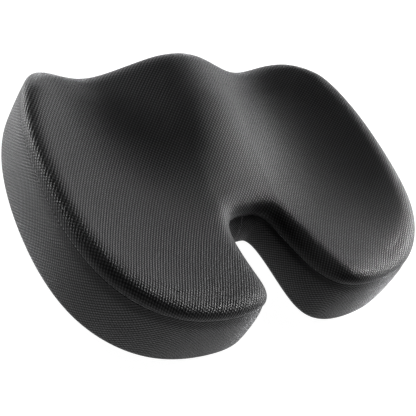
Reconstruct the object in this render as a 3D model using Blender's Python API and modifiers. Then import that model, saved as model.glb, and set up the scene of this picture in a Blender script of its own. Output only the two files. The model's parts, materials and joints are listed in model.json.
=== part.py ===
"""Contoured tailbone seat cushion: a foam core inside a zipped cover of thick mesh fabric.

Metres, +Z up, +Y towards the front. The cushion is symmetric about the plane x = 0, apart from
the zip's slider, its pull tab and the care label. The origin is on the floor under its middle.
"""

from math import cos, exp, pi, sin, sqrt

import bmesh
import bpy

MM = 0.001

# --- Plan outline of the top edge -------------------------------------------------------------
# Control points (mm) of a uniform cubic B-spline, from the middle of the front edge, round the
# right-hand side and the rear lobe, to the bottom of the tailbone notch. The other half mirrors.
OUTLINE = (
    (0, 159), (58, 159), (116, 159), (170, 163),
    (214, 94), (221.5, -10), (207.5, -99),
    (155, -154), (88, -164.5), (53, -158.5),
    (36, -135.5), (33.5, -44), (0, -45),
)
LAST = len(OUTLINE) - 1
LOBE_OUTER = 7.0  # spline parameter where the long outer side ends, at the back of the lobe
LOBE_INNER = 9.0  # spline parameter where the notch side starts

# --- Contoured top (mm) -----------------------------------------------------------------------
BASE_HEIGHT = 34.7
HALF_WIDTH = 225.0
SIDE_RISE = 62.4  # the outer rims rise as a parabola
SIDE_START = 38.7
REAR_RISE = 63.9  # the back of the seat rises as a parabola
REAR_START = 113.7
REAR_END = -172.0
POMMEL_HEIGHT = 44.5  # ridge between the thighs, highest at the front
POMMEL_WIDTH = 82.0
POMMEL_BACK = -75.0
POMMEL_FRONT = 93.0
FRONT_DIP = 8.0  # the thigh valleys drop towards the front edge
FRONT_DIP_START = 88.0
FRONT_DIP_LENGTH = 85.0
CORNER_BLEND = 0.76  # keeps the side and rear rises from adding up in the corners
NOTCH_DISH = 13.8  # hollow around the notch
NOTCH_DISH_START = -32.0
NOTCH_DISH_LENGTH = 100.0
RIDGE_WIDTH = 60.0

# --- Section of the wall (mm) -----------------------------------------------------------------
EDGE_RADIUS = 16.0  # rounding between top and wall
BOTTOM_RADIUS = 7.4  # rounding between wall and underside
FLARE = 6.6  # how far the wall leans out from its top to its foot
TOP_DROP = 1.3  # a slope of up to 35 degrees needs this much more depth than the wall does
SEAM_ALLOWANCE = 1.0  # straight cloth between a rounding and its seam
SEAM_GAP = 0.7
GAP = 0.3

FABRIC = 3.0  # thickness of the spacer mesh
FOAM_INSET = 3.5

# --- Zip in the front wall (mm) ---------------------------------------------------------------
ZIP_Z = 16.0
WINDOW_HALF = 122.0  # opening left for the zip in the front band
WINDOW_TOP = 24.0
TAPE_TOP = 23.6
TAPE_BOTTOM = 9.0
TAPE_THICKNESS = 0.6
TAPE_FACE = -0.9  # outer face of the tapes, from the front plane
ROW_HALF = 115.0
ROW_INNER = 0.8  # from the zip's middle line to a row's near edge
ROW_OUTER = 3.0
ROW_FACE = -0.3
ROW_THICKNESS = 1.8
STOP_LENGTH = 2.5
STOP_HALF_HEIGHT = 3.4
SLIDER_X = 109.5  # closed position
SLIDER_LENGTH = 9.0
SLIDER_HALF_HEIGHT = 4.1
PLATE_OUTER = 0.9
PLATE_INNER = 0.8
INNER_PLATE_FACE = -2.4
FLANGE = 0.8
FLANGE_DEPTH = 0.6
NECK_THICKNESS = 1.0
NECK_LENGTH = 2.5
ARCH_HALF_LENGTH = 3.4
ARCH_POST = 0.8
ARCH_HALF_WIDTH = 1.0
ARCH_INSIDE = 2.7
ARCH_OUTSIDE = 3.6
PULL_Y = 1.9
PULL_THICKNESS = 1.0
PULL_ARM_INNER = 1.5
PULL_ARM_OUTER = 2.6
PULL_ARM_LENGTH = 5.0
PULL_TAB_LENGTH = 18.0
PULL_TAB_HALF_WIDTH = 4.0
PULL_HOLE_RADIUS = 1.6

# --- Care label (mm and spline parameters) ----------------------------------------------------
BAND_END = 2.45  # spline parameter of the upright seams between front band and side band
LABEL_START = 2.52
LABEL_END = 2.92
LABEL_LOW = 0.85  # fractions of the wall, from its top to its foot
LABEL_HIGH = 0.30
LABEL_THICKNESS = 0.5

# --- Mesh density -----------------------------------------------------------------------------
LONG_STEPS = 21  # along the outer side, and along the notch side
LOBE_STEPS = 7  # across the lobe, and across the cushion
EDGE_STEPS = 4
WALL_STEPS = 3
BOTTOM_STEPS = 2
WELD = 0.00001


def smoothstep(t):
    t = min(max(t, 0.0), 1.0)
    return t * t * (3 - 2 * t)


def top_height(x, y):
    """Height (mm) of the upholstered top over a point of the plan."""
    x = abs(x)
    side = SIDE_RISE * (max(x - SIDE_START, 0) / (HALF_WIDTH - SIDE_START)) ** 2
    rear = REAR_RISE * (max(REAR_START - y, 0) / (REAR_START - REAR_END)) ** 2
    pommel = POMMEL_HEIGHT * exp(-(x / POMMEL_WIDTH) ** 2)
    pommel *= smoothstep((y - POMMEL_BACK) / (POMMEL_FRONT - POMMEL_BACK))
    on_ridge = exp(-(x / RIDGE_WIDTH) ** 2)
    dip = FRONT_DIP * (max(y - FRONT_DIP_START, 0) / FRONT_DIP_LENGTH) ** 2 * (1 - on_ridge)
    dish = NOTCH_DISH * on_ridge * smoothstep((NOTCH_DISH_START - y) / NOTCH_DISH_LENGTH)
    return BASE_HEIGHT + side + rear - CORNER_BLEND * sqrt(side * rear) + pommel - dip - dish


def control_point(index):
    """A control point of the outline, mirrored beyond both ends of the half."""
    if index < 0:
        x, y = OUTLINE[-index]
        return -x, y
    if index > LAST:
        x, y = OUTLINE[2 * LAST - index]
        return -x, y
    return OUTLINE[index]


def outline_point(u, outset):
    """The outline at parameter u, moved outwards by outset."""
    start = min(int(u), LAST - 1)
    f = u - start
    weights = ((1 - f) ** 3, 3 * f**3 - 6 * f**2 + 4, -3 * f**3 + 3 * f**2 + 3 * f + 1, f**3)
    slopes = (-((1 - f) ** 2), 3 * f**2 - 4 * f, -3 * f**2 + 2 * f + 1, f**2)
    points = [control_point(start + k) for k in (-1, 0, 1, 2)]
    x = sum(w * p[0] for w, p in zip(weights, points)) / 6
    y = sum(w * p[1] for w, p in zip(weights, points)) / 6
    along_x = sum(w * p[0] for w, p in zip(slopes, points))
    along_y = sum(w * p[1] for w, p in zip(slopes, points))
    length = sqrt(along_x**2 + along_y**2)
    return x - outset * along_y / length, y + outset * along_x / length


def edge_point(u, angle, inset):
    """On the rounding between top and wall: angle 0 is the top's rim, a right angle the wall."""
    radius = EDGE_RADIUS - inset
    x, y = outline_point(u, radius * sin(angle) - EDGE_RADIUS)
    return x, y, top_height(x, y) - TOP_DROP * inset - radius * (1 - cos(angle))


def wall_point(u, fraction, inset):
    """On the wall: fraction 0 is its top and 1 its foot."""
    top = edge_point(u, pi / 2, inset)[2]
    z = top + (BOTTOM_RADIUS - top) * fraction
    x, y = outline_point(u, FLARE * (1 - (1 - fraction) ** 2) - inset)
    return x, y, z


def wall_at(u, z, inset=0.0):
    """On the wall, at a height."""
    top = edge_point(u, pi / 2, inset)[2]
    return wall_point(u, (top - z) / (top - BOTTOM_RADIUS), inset)


def foot_point(u, angle, inset):
    """On the rounding under the wall: angle 0 is the wall, a right angle the underside."""
    radius = BOTTOM_RADIUS - inset
    x, y = outline_point(u, FLARE - inset - radius * (1 - cos(angle)))
    return x, y, inset + radius * (1 - sin(angle))


def patch_point(s, v, outset):
    """Fills the half plan: s runs from the symmetry plane to the lobe's back, v from notch to rim."""
    outer = outline_point(s * LOBE_OUTER, outset)
    inner = outline_point(LAST - s * (LAST - LOBE_INNER), outset)
    lobe = outline_point(LOBE_INNER + (LOBE_OUTER - LOBE_INNER) * v, outset)
    lobe_in = outline_point(LOBE_INNER, outset)
    lobe_out = outline_point(LOBE_OUTER, outset)
    return tuple(
        (1 - v) * inner[k] + v * outer[k]
        + s * (lobe[k] - (1 - v) * lobe_in[k] - v * lobe_out[k])
        for k in (0, 1)
    )


def rim_parameters():
    """Spline parameters of the patch's rim, from the front round to the notch."""
    outer = [LOBE_OUTER * i / LONG_STEPS for i in range(LONG_STEPS)]
    lobe = [LOBE_OUTER + (LOBE_INNER - LOBE_OUTER) * i / LOBE_STEPS for i in range(LOBE_STEPS)]
    notch = [LOBE_INNER + (LAST - LOBE_INNER) * i / LONG_STEPS for i in range(LONG_STEPS + 1)]
    return outer + lobe + notch


def add_grid(bm, columns, rows, place):
    """Adds a grid of columns by rows cells, each corner put where place(i, j) says, in mm."""
    made = bmesh.ops.create_grid(bm, x_segments=columns, y_segments=rows, size=1.0)
    for vert in made["verts"]:
        i = round((vert.co.x + 1) / 2 * columns)
        j = round((vert.co.y + 1) / 2 * rows)
        vert.co = [c * MM for c in place(i, j)]


def add_patch(bm, outset, height, facing_up=True):
    """Adds the half plan as a grid at height(x, y)."""

    def place(i, j):
        v = j / LOBE_STEPS if facing_up else 1 - j / LOBE_STEPS
        x, y = patch_point(i / LONG_STEPS, v, outset)
        return x, y, height(x, y)

    add_grid(bm, LONG_STEPS, LOBE_STEPS, place)


def add_rings(bm, parameters, levels):
    """Adds a strip round the half, one row between each two levels, from the top down."""
    add_grid(bm, len(parameters) - 1, len(levels) - 1, lambda i, j: levels[j](parameters[i]))


def edge_levels(inset):
    return [
        lambda u, a=pi / 2 * k / EDGE_STEPS: edge_point(u, a, inset) for k in range(EDGE_STEPS + 1)
    ]


def wall_levels(inset):
    return [lambda u, w=k / WALL_STEPS: wall_point(u, w, inset) for k in range(WALL_STEPS + 1)]


def foot_levels(inset):
    return [
        lambda u, a=pi / 2 * k / BOTTOM_STEPS: foot_point(u, a, inset)
        for k in range(BOTTOM_STEPS + 1)
    ]


def band_levels():
    """From just under the top seam to just over the bottom seam."""
    below_top = SEAM_ALLOWANCE + SEAM_GAP
    low = BOTTOM_RADIUS + below_top

    def level(u, k):
        high = edge_point(u, pi / 2, 0.0)[2] - below_top
        return wall_at(u, high + (low - high) * k / WALL_STEPS)

    return [lambda u, k=k: level(u, k) for k in range(WALL_STEPS + 1)]


def make_material(name, colour, roughness, metallic=0.0):
    material = bpy.data.materials.new(name)
    material.use_nodes = True
    shader = material.node_tree.nodes["Principled BSDF"]
    shader.inputs["Base Color"].default_value = (*colour, 1.0)
    shader.inputs["Roughness"].default_value = roughness
    shader.inputs["Metallic"].default_value = metallic
    return material


def finish_object(bm, name, collection, material, smooth=True):
    """Makes an object of the welded mesh."""
    bmesh.ops.remove_doubles(bm, verts=bm.verts, dist=WELD)
    mesh = bpy.data.meshes.new(name)
    bm.to_mesh(mesh)
    bm.free()
    mesh.materials.append(material)
    if smooth:
        mesh.shade_smooth()
    obj = bpy.data.objects.new(name, mesh)
    collection.objects.link(obj)
    return obj


def add_mirror(obj):
    mirror = obj.modifiers.new("Mirror", "MIRROR")
    mirror.merge_threshold = 0.00005


def add_thickness(obj, thickness):
    """Thickens an open surface inwards."""
    solidify = obj.modifiers.new("Thickness", "SOLIDIFY")
    solidify.thickness = thickness * MM
    solidify.offset = -1.0
    solidify.use_even_offset = True


def add_cut(obj, cutter):
    cut = obj.modifiers.new("Cut", "BOOLEAN")
    cut.operation = "DIFFERENCE"
    cut.solver = "EXACT"
    cut.object = cutter


def make_cutter(name, low, high, collection):
    """A box that is only used to cut, between two corners in mm."""
    bm = bmesh.new()
    add_box(bm, low, high)
    mesh = bpy.data.meshes.new(name)
    bm.to_mesh(mesh)
    bm.free()
    cutter = bpy.data.objects.new(name, mesh)
    cutter.hide_render = True
    cutter.display_type = "WIRE"
    collection.objects.link(cutter)
    return cutter


def add_box(bm, low, high):
    """Adds a box between two corners, in mm."""
    made = bmesh.ops.create_cube(bm, size=1.0)
    for vert in made["verts"]:
        vert.co = [((a + b) / 2 + (b - a) * c) * MM for a, b, c in zip(low, high, vert.co)]


def make_box(name, low, high, collection, material, bevel=0.0):
    bm = bmesh.new()
    add_box(bm, low, high)
    obj = finish_object(bm, name, collection, material, smooth=False)
    if bevel:
        add_bevel(obj, bevel)
    return obj


def add_bevel(obj, width):
    bevel = obj.modifiers.new("Bevel", "BEVEL")
    bevel.width = width * MM
    bevel.segments = 2
    bevel.limit_method = "ANGLE"


def make_foam_core(collection, material):
    inset = FOAM_INSET
    rim = rim_parameters()
    bm = bmesh.new()
    add_patch(bm, -EDGE_RADIUS, lambda x, y: top_height(x, y) - TOP_DROP * inset)
    add_rings(bm, rim, edge_levels(inset))
    add_rings(bm, rim, wall_levels(inset))
    foot = [lambda u: wall_point(u, 1.0, inset)] + foot_levels(inset)[1:]
    add_rings(bm, rim, foot)
    add_patch(bm, FLARE - BOTTOM_RADIUS, lambda x, y: inset, facing_up=False)
    add_mirror(finish_object(bm, "foam_core", collection, material))


def make_cover_top(collection, material):
    rim = rim_parameters()
    bm = bmesh.new()
    add_patch(bm, -EDGE_RADIUS, top_height)
    seam = [lambda u: wall_at(u, edge_point(u, pi / 2, 0.0)[2] - SEAM_ALLOWANCE)]
    add_rings(bm, rim, edge_levels(0.0) + seam)
    top = finish_object(bm, "cover_top", collection, material)
    add_mirror(top)
    add_thickness(top, FABRIC)


def make_cover_bottom(collection, material):
    rim = rim_parameters()
    bm = bmesh.new()
    seam = [lambda u: wall_at(u, BOTTOM_RADIUS + SEAM_ALLOWANCE)]
    add_rings(bm, rim, seam + foot_levels(0.0))
    add_patch(bm, FLARE - BOTTOM_RADIUS, lambda x, y: 0.0, facing_up=False)
    bottom = finish_object(bm, "cover_bottom", collection, material)
    add_mirror(bottom)
    add_thickness(bottom, FABRIC)


def make_cover_bands(collection, cutters, material):
    """The long band round sides, lobes and notch, and the short one over the zip."""
    rim = rim_parameters()
    seam_step = 0.01  # in spline parameters, about half a millimetre
    bm = bmesh.new()
    add_rings(bm, [BAND_END + seam_step] + [u for u in rim if u > BAND_END], band_levels())
    side = finish_object(bm, "cover_side_band", collection, material)
    add_mirror(side)
    add_thickness(side, FABRIC)

    bm = bmesh.new()
    add_rings(bm, [u for u in rim if u < BAND_END] + [BAND_END], band_levels())
    front = finish_object(bm, "cover_front_band", collection, material)
    add_mirror(front)
    add_thickness(front, FABRIC)
    front_y = OUTLINE[0][1]
    low = (-WINDOW_HALF, front_y - 2 * FOAM_INSET, 0.0)
    high = (WINDOW_HALF, front_y + 3 * FLARE, WINDOW_TOP)
    add_cut(front, make_cutter("zip_window_cutter", low, high, cutters))


def make_zip_tapes(front_y, collection, material):
    """Both tapes, lying in the window of the front band."""
    back = front_y + TAPE_FACE - TAPE_THICKNESS
    face = front_y + TAPE_FACE
    half = WINDOW_HALF - GAP
    near = ROW_OUTER + GAP
    upper = ((-half, back, ZIP_Z + near), (half, face, TAPE_TOP))
    lower = ((-half, back, TAPE_BOTTOM), (half, face, ZIP_Z - near))
    for name, (low, high) in (("zip_tape_upper", upper), ("zip_tape_lower", lower)):
        make_box(name, low, high, collection, material)


def make_zip_rows(front_y, collection, material):
    """The two rows of teeth, as plain bars with a slot between them for the slider's neck."""
    face = front_y + ROW_FACE
    back = face - ROW_THICKNESS
    for name, inner, outer in (
        ("zip_teeth_upper", ZIP_Z + ROW_INNER, ZIP_Z + ROW_OUTER),
        ("zip_teeth_lower", ZIP_Z - ROW_OUTER, ZIP_Z - ROW_INNER),
    ):
        low = (-ROW_HALF, back, inner)
        high = (ROW_HALF, face, outer)
        make_box(name, low, high, collection, material, bevel=0.4)


def make_zip_stops(front_y, collection, material):
    start = ROW_HALF + GAP
    for name, sign in (("zip_stop_left", -1), ("zip_stop_right", 1)):
        ends = sorted((sign * start, sign * (start + STOP_LENGTH)))
        low = (ends[0], front_y + TAPE_FACE + GAP, ZIP_Z - STOP_HALF_HEIGHT)
        high = (ends[1], front_y + 0.6, ZIP_Z + STOP_HALF_HEIGHT)
        make_box(name, low, high, collection, material, bevel=0.3)


def make_zip_slider(front_y, collection, material):
    """Two plates with flanges round the teeth, joined by a neck, and an arch for the pull tab."""
    half = SLIDER_LENGTH / 2
    tall = SLIDER_HALF_HEIGHT
    inner_back = INNER_PLATE_FACE - PLATE_INNER
    overlap = 0.1
    boxes = [
        ((-half, 0.0, -tall), (half, PLATE_OUTER, tall)),
        ((-half, inner_back, -tall), (half, INNER_PLATE_FACE, tall)),
        (
            (half - NECK_LENGTH, INNER_PLATE_FACE - overlap, -NECK_THICKNESS / 2),
            (half - 0.2, overlap, NECK_THICKNESS / 2),
        ),
        (
            (-ARCH_HALF_LENGTH, ARCH_INSIDE, -ARCH_HALF_WIDTH),
            (ARCH_HALF_LENGTH, ARCH_OUTSIDE, ARCH_HALF_WIDTH),
        ),
    ]
    for side in (-1, 1):
        z = sorted((side * (tall - FLANGE), side * tall))
        boxes.append(((-half, -FLANGE_DEPTH, z[0]), (half, overlap, z[1])))
        flange_back = INNER_PLATE_FACE - overlap
        boxes.append(
            ((-half, flange_back, z[0]), (half, INNER_PLATE_FACE + FLANGE_DEPTH, z[1]))
        )
        x = sorted((side * (ARCH_HALF_LENGTH - ARCH_POST), side * ARCH_HALF_LENGTH))
        boxes.append(
            (
                (x[0], PLATE_OUTER - overlap, -ARCH_HALF_WIDTH),
                (x[1], ARCH_INSIDE + overlap, ARCH_HALF_WIDTH),
            )
        )
    slider = join_boxes("zip_slider", boxes, collection, material)
    slider.location = (SLIDER_X * MM, front_y * MM, ZIP_Z * MM)
    add_bevel(slider, 0.15)


def join_boxes(name, boxes, collection, material):
    """One solid from overlapping boxes, by Boolean unions that are then applied."""
    objects = []
    for low, high in boxes:
        bm = bmesh.new()
        add_box(bm, low, high)
        objects.append(finish_object(bm, name, collection, material, smooth=False))
    base = objects[0]
    for other in objects[1:]:
        union = base.modifiers.new("Union", "BOOLEAN")
        union.operation = "UNION"
        union.solver = "EXACT"
        union.object = other
    bpy.context.view_layer.update()
    evaluated = base.evaluated_get(bpy.context.evaluated_depsgraph_get())
    mesh = bpy.data.meshes.new_from_object(evaluated)
    for obj in objects:
        bpy.data.objects.remove(obj)
    joined = bpy.data.objects.new(name, mesh)
    collection.objects.link(joined)
    return joined


def make_zip_pull(front_y, collection, cutters, material):
    """A tab with an eye: its axle bar runs under the slider's arch. Its origin is on the hinge."""
    half = PULL_THICKNESS / 2
    arm_end = -PULL_ARM_LENGTH
    tab_end = -PULL_ARM_LENGTH - PULL_TAB_LENGTH
    overlap = 0.5
    boxes = [((-half, -half, -PULL_ARM_OUTER), (half, half, PULL_ARM_OUTER))]
    for side in (-1, 1):
        z = sorted((side * PULL_ARM_INNER, side * PULL_ARM_OUTER))
        boxes.append(((arm_end - overlap, -half, z[0]), (half, half, z[1])))
    tab = PULL_TAB_HALF_WIDTH
    boxes.append(((tab_end, -half, -tab), (arm_end, half, tab)))
    pull = join_boxes("zip_pull", boxes, collection, material)
    pull.location = (SLIDER_X * MM, (front_y + PULL_Y) * MM, ZIP_Z * MM)
    bm = bmesh.new()
    bmesh.ops.create_cone(
        bm, cap_ends=True, segments=20, radius1=PULL_HOLE_RADIUS * MM,
        radius2=PULL_HOLE_RADIUS * MM, depth=4 * PULL_THICKNESS * MM,
    )
    mesh = bpy.data.meshes.new("pull_hole_cutter")
    bm.to_mesh(mesh)
    bm.free()
    cutter = bpy.data.objects.new("pull_hole_cutter", mesh)
    cutter.hide_render = True
    cutter.display_type = "WIRE"
    cutter.rotation_euler = (pi / 2, 0, 0)
    hole_x = SLIDER_X + tab_end + PULL_TAB_HALF_WIDTH
    cutter.location = (hole_x * MM, (front_y + PULL_Y) * MM, ZIP_Z * MM)
    cutters.objects.link(cutter)
    add_cut(pull, cutter)
    add_bevel(pull, 0.15)


def make_care_label(collection, material):
    """A blank label sewn into the upright seam, lying against the wall."""
    steps = 4
    span = LABEL_END - LABEL_START
    outset = -GAP - LABEL_THICKNESS
    bm = bmesh.new()
    levels = [
        lambda u, k=k: wall_point(u, LABEL_HIGH + (LABEL_LOW - LABEL_HIGH) * k / steps, outset)
        for k in range(steps + 1)
    ]
    add_rings(bm, [LABEL_START + span * i / steps for i in range(steps + 1)], levels)
    add_thickness(finish_object(bm, "care_label", collection, material), LABEL_THICKNESS)


def main():
    for obj in list(bpy.data.objects):
        bpy.data.objects.remove(obj)
    parts = bpy.data.collections.new("seat_cushion")
    cutters = bpy.data.collections.new("cutters")
    bpy.context.scene.collection.children.link(parts)
    bpy.context.scene.collection.children.link(cutters)

    mesh_fabric = make_material("mesh_fabric", (0.028, 0.029, 0.032), 0.75)
    grip_fabric = make_material("grip_fabric", (0.022, 0.022, 0.024), 0.85)
    foam = make_material("foam", (0.83, 0.79, 0.66), 0.9)
    tape = make_material("zip_tape", (0.02, 0.02, 0.022), 0.8)
    teeth = make_material("zip_teeth", (0.015, 0.015, 0.016), 0.35)
    metal = make_material("zip_metal", (0.05, 0.05, 0.055), 0.35, 1.0)
    label = make_material("label", (0.75, 0.75, 0.73), 0.7)

    make_foam_core(parts, foam)
    make_cover_top(parts, mesh_fabric)
    make_cover_bands(parts, cutters, mesh_fabric)
    make_cover_bottom(parts, grip_fabric)
    front_y = wall_at(0.0, ZIP_Z)[1]
    make_zip_tapes(front_y, parts, tape)
    make_zip_rows(front_y, parts, teeth)
    make_zip_stops(front_y, parts, metal)
    make_zip_slider(front_y, parts, metal)
    make_zip_pull(front_y, parts, cutters, metal)
    make_care_label(parts, label)


main()
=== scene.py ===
"""Looks of the contoured tailbone cushion: foam core, mesh fabric cover, zip, grip dots, label."""

import json
import math

import bmesh
import bpy
import numpy as np
from mathutils import Matrix, Vector
from mathutils.bvhtree import BVHTree


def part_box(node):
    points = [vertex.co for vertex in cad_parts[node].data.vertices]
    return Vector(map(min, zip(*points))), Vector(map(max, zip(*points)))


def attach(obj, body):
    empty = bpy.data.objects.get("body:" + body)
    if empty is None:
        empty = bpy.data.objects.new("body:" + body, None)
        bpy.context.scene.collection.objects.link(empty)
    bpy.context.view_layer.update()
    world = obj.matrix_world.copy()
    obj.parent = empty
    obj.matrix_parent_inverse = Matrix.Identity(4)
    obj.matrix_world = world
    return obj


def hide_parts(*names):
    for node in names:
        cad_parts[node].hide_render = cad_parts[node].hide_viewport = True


MM = 0.001
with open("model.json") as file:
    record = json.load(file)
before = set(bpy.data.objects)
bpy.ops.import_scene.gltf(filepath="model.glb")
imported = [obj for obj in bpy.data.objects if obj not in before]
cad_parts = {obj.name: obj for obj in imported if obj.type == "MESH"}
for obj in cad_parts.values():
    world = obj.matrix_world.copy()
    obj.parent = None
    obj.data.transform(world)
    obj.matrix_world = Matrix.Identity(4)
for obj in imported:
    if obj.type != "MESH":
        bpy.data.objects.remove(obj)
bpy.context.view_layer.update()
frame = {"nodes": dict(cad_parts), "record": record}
scene = bpy.context.scene

# --- The cushion's shape, close to the CAD's (mm) -----------------------------------------------
OUTLINE = np.array((
    (0, 159), (58, 159), (116, 159), (170, 163),
    (214, 94), (222.5, -10), (209.5, -100),
    (155, -154), (88, -164.5), (51.5, -158.5),
    (35, -135.5), (33.5, -44), (0, -45),
), float)
LAST = len(OUTLINE) - 1
LOBE_OUTER = 7.0
LOBE_INNER = 9.0
BASE_HEIGHT = 34.7
HALF_WIDTH = 225.0
SIDE_RISE = 62.4  # the outer rims rise as a parabola
SIDE_START = 38.7
REAR_RISE = 63.9  # the back of the seat rises as a parabola
REAR_START = 113.7
REAR_END = -172.0
POMMEL_HEIGHT = 46.0  # ridge between the thighs, highest at the front
POMMEL_WIDTH = 84.0
POMMEL_BACK = -75.0
POMMEL_FRONT = 93.0
VALLEY_DIP = 12.0  # the thigh valleys drop towards the front edge
VALLEY_X = 105.0
VALLEY_WIDTH = 43.0
VALLEY_START = 88.0
VALLEY_LENGTH = 85.0
CORNER_RISE = 2.0  # the front corners stand a little higher
CORNER_X = (150.0, 40.0)  # where the rise starts, and how long it takes
CORNER_Y = (60.0, 60.0)
CORNER_BLEND = 0.76  # keeps the side and rear rises from adding up in the corners
NOTCH_DISH = 13.8  # hollow around the notch
NOTCH_DISH_START = -32.0
NOTCH_DISH_LENGTH = 100.0
RIDGE_WIDTH = 60.0
FLARE = 6.6  # how far the wall leans out from its top to its foot
FLARE_CHANGES = ((3.3, 1.1, -5.2), (8.0, 1.0, -1.5), (12.0, 0.8, 4.5))  # where, how wide, how much
WALL_POWER = 2.0  # how quickly the wall leans out; more so in the valleys, to meet the zip
VALLEY_POWER = 4.0
VALLEY_AT = 2.0  # the same place along the outline as VALLEY_X
VALLEY_SPAN = 0.8
EDGE_RADIUS = 16.0
EDGE_WIDTH = 21.0  # the cloth rounds over more gently than the foam under it
BOTTOM_RADIUS = 7.4
SEAM_DROP = 1.2  # the top seam lies this far under the rounding
FOAM_INSET = 3.5
TOP_DROP = 1.3
BAND_END = 2.45

# --- Zip, all at the front (mm) -------------------------------------------------------------------
ZIP_Z = 16.0
WINDOW_HALF = 122.0
WINDOW_TOP = 24.0
WINDOW_ROW = 5  # the band's row of mesh along the window's top
WINDOW_ROWS_END = (2.6, 1.2)  # where this row leaves the window's height, and over what length
TAPE_TOP = 23.9
TAPE_BOTTOM = 8.9
TAPE_FACE = -0.9  # from the front plane
TAPE_BEHIND = -2.13  # the same, where the tape lies behind the coil
TAPE_THICKNESS = 0.6
TAPE_THIN = 0.2  # its thickness behind the coil
TAPE_STEP = 3.0  # where it steps back, from the zip's middle line
TAPE_ROWS = (0.65, 1.2, 2.2, 2.9, 3.15, 3.35, 4.0, 5.0, 6.0)  # distances of its rows from there
TAPE_RIPPLE = (0.06, 9.0)  # depth and length of its waves
# Painted shade: a dark strip behind the zip hides the pale foam between the coils.
SHADE_STRIP_FACE = -3.28
SHADE_STRIP_HALF = 124.0
SHADE_STRIP_HEIGHTS = (7.2, 26.0)
SHADE_STRIP_THICKNESS = 0.1
ROW_HALF = 115.0
COIL_PITCH = 1.6
COIL_WIRE = 0.27
COIL_STEPS = 12  # points to one turn
COIL_CENTRE = (-1.2, 1.85)  # behind the front plane, and from the zip's middle line
COIL_RADII = (0.62, 0.95)

# --- Cloth --------------------------------------------------------------------------------------
FABRIC = 2.4
SWELL_INSET = 0.2  # the cover starts this much smaller, and the pressure fills it
SWELL_PRESSURE = 4.0
SWELL_FRAMES = 20
SWELL_LIMIT = 3.0
SMOOTH_ROUNDS = 40
SEAM_DEPTHS = (0.0, 0.3, 1.3, 1.2, 0.5)  # two rows above the seam to two rows below it
BASE_DEPTHS = (0.0, 0.1, 0.5, 0.1, 0.0)
UPRIGHT_DEPTHS = (0.2, 0.8, 0.2)  # for the band's upright seams, by columns
SEAM_LEAST = 0.1  # share of its depth that the top seam has at the front and sides
SEAM_DEEPENS = (4.9, 1.8)  # where it starts to deepen towards the lobes, and over what length
PAINTED_SEAM_SHADES = (0.3, 0.8, 1.0, 1.0, 0.6)  # painted shade: how much the cloth's colour is darkened at the top seam, same rows
THREAD_RADIUS = 0.6  # of the thread that closes a seam
THREAD_DEPTH = 1.2  # from the cloth's face to the thread's middle
STITCH_PITCH = 4.0
STITCH_SIZE = (2.6, 0.55, 0.6)  # length, width and height of the thread that shows
STITCH_LIFT = 0.08
STITCH_HALF = 120.0  # the row over the window runs this far to both sides
STITCH_ABOVE = 1.4  # from the window's top to the row over it
STITCH_BESIDE = 2.0  # from the window's ends to the rows beside them
STITCH_HEIGHTS = (11.0, 23.0)
LABEL_MARGIN = 0.6
LABEL_THICKNESS = 0.25
LABEL_LIFT = (0.3, 0.5)  # off the cloth at its top, and how much more at its loose end
DOT_HEIGHT = 0.8
DOT_RADIUS = 1.9
DOT_PITCH = 11.0

# --- Weave of the mesh fabric -------------------------------------------------------------------
TOP_PITCH = (3.7, 4.15)  # between holes of one row, and between rows two apart (mm)
BAND_PITCH = (3.95, 3.7)
SLANT_SHARE = 0.62  # the holes line up more along one slant than along the other
YARN_DARK = (0.006, 0.0061, 0.0065)
YARN_LIGHT = (0.06, 0.0606, 0.0625)
HOLE_COLOUR = (0.004, 0.004, 0.0045)
FAN = 0.0008  # the top panel's columns spread towards the front by this much per mm

# --- Mesh density -------------------------------------------------------------------------------
LONG_STEPS = 80
LOBE_STEPS = 32
EDGE_STEPS = 8
BAND_STEPS = 12
EVEN_SHARE = 0.45  # the rest of the band's rows crowd towards its seams
FOOT_STEPS = 4
SEAM = EDGE_STEPS + 1  # number of the loop that is the top seam
FOOT = SEAM + BAND_STEPS  # loop where the wall starts to round under
BASE_SEAM = FOOT + 3  # loop that is the bottom seam


def smoothstep(t):
    t = np.clip(t, 0.0, 1.0)
    return t * t * (3 - 2 * t)


def top_height(x, y):
    """Height of the cushion's top over a point of the plan."""
    x = np.abs(x)
    side = SIDE_RISE * (np.maximum(x - SIDE_START, 0) / (HALF_WIDTH - SIDE_START)) ** 2
    rear = REAR_RISE * (np.maximum(REAR_START - y, 0) / (REAR_START - REAR_END)) ** 2
    along_ridge = smoothstep((y - POMMEL_BACK) / (POMMEL_FRONT - POMMEL_BACK))
    pommel = POMMEL_HEIGHT * np.exp(-(x / POMMEL_WIDTH) ** 2) * along_ridge
    on_ridge = np.exp(-(x / RIDGE_WIDTH) ** 2)
    in_valley = np.exp(-((x - VALLEY_X) / VALLEY_WIDTH) ** 2)
    dip = VALLEY_DIP * (np.maximum(y - VALLEY_START, 0) / VALLEY_LENGTH) ** 2 * in_valley
    corner = CORNER_RISE * smoothstep((x - CORNER_X[0]) / CORNER_X[1])
    corner = corner * smoothstep((y - CORNER_Y[0]) / CORNER_Y[1])
    dish = NOTCH_DISH * on_ridge * smoothstep((NOTCH_DISH_START - y) / NOTCH_DISH_LENGTH)
    return BASE_HEIGHT + side + rear - CORNER_BLEND * np.sqrt(side * rear) + pommel + corner - dip - dish


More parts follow.
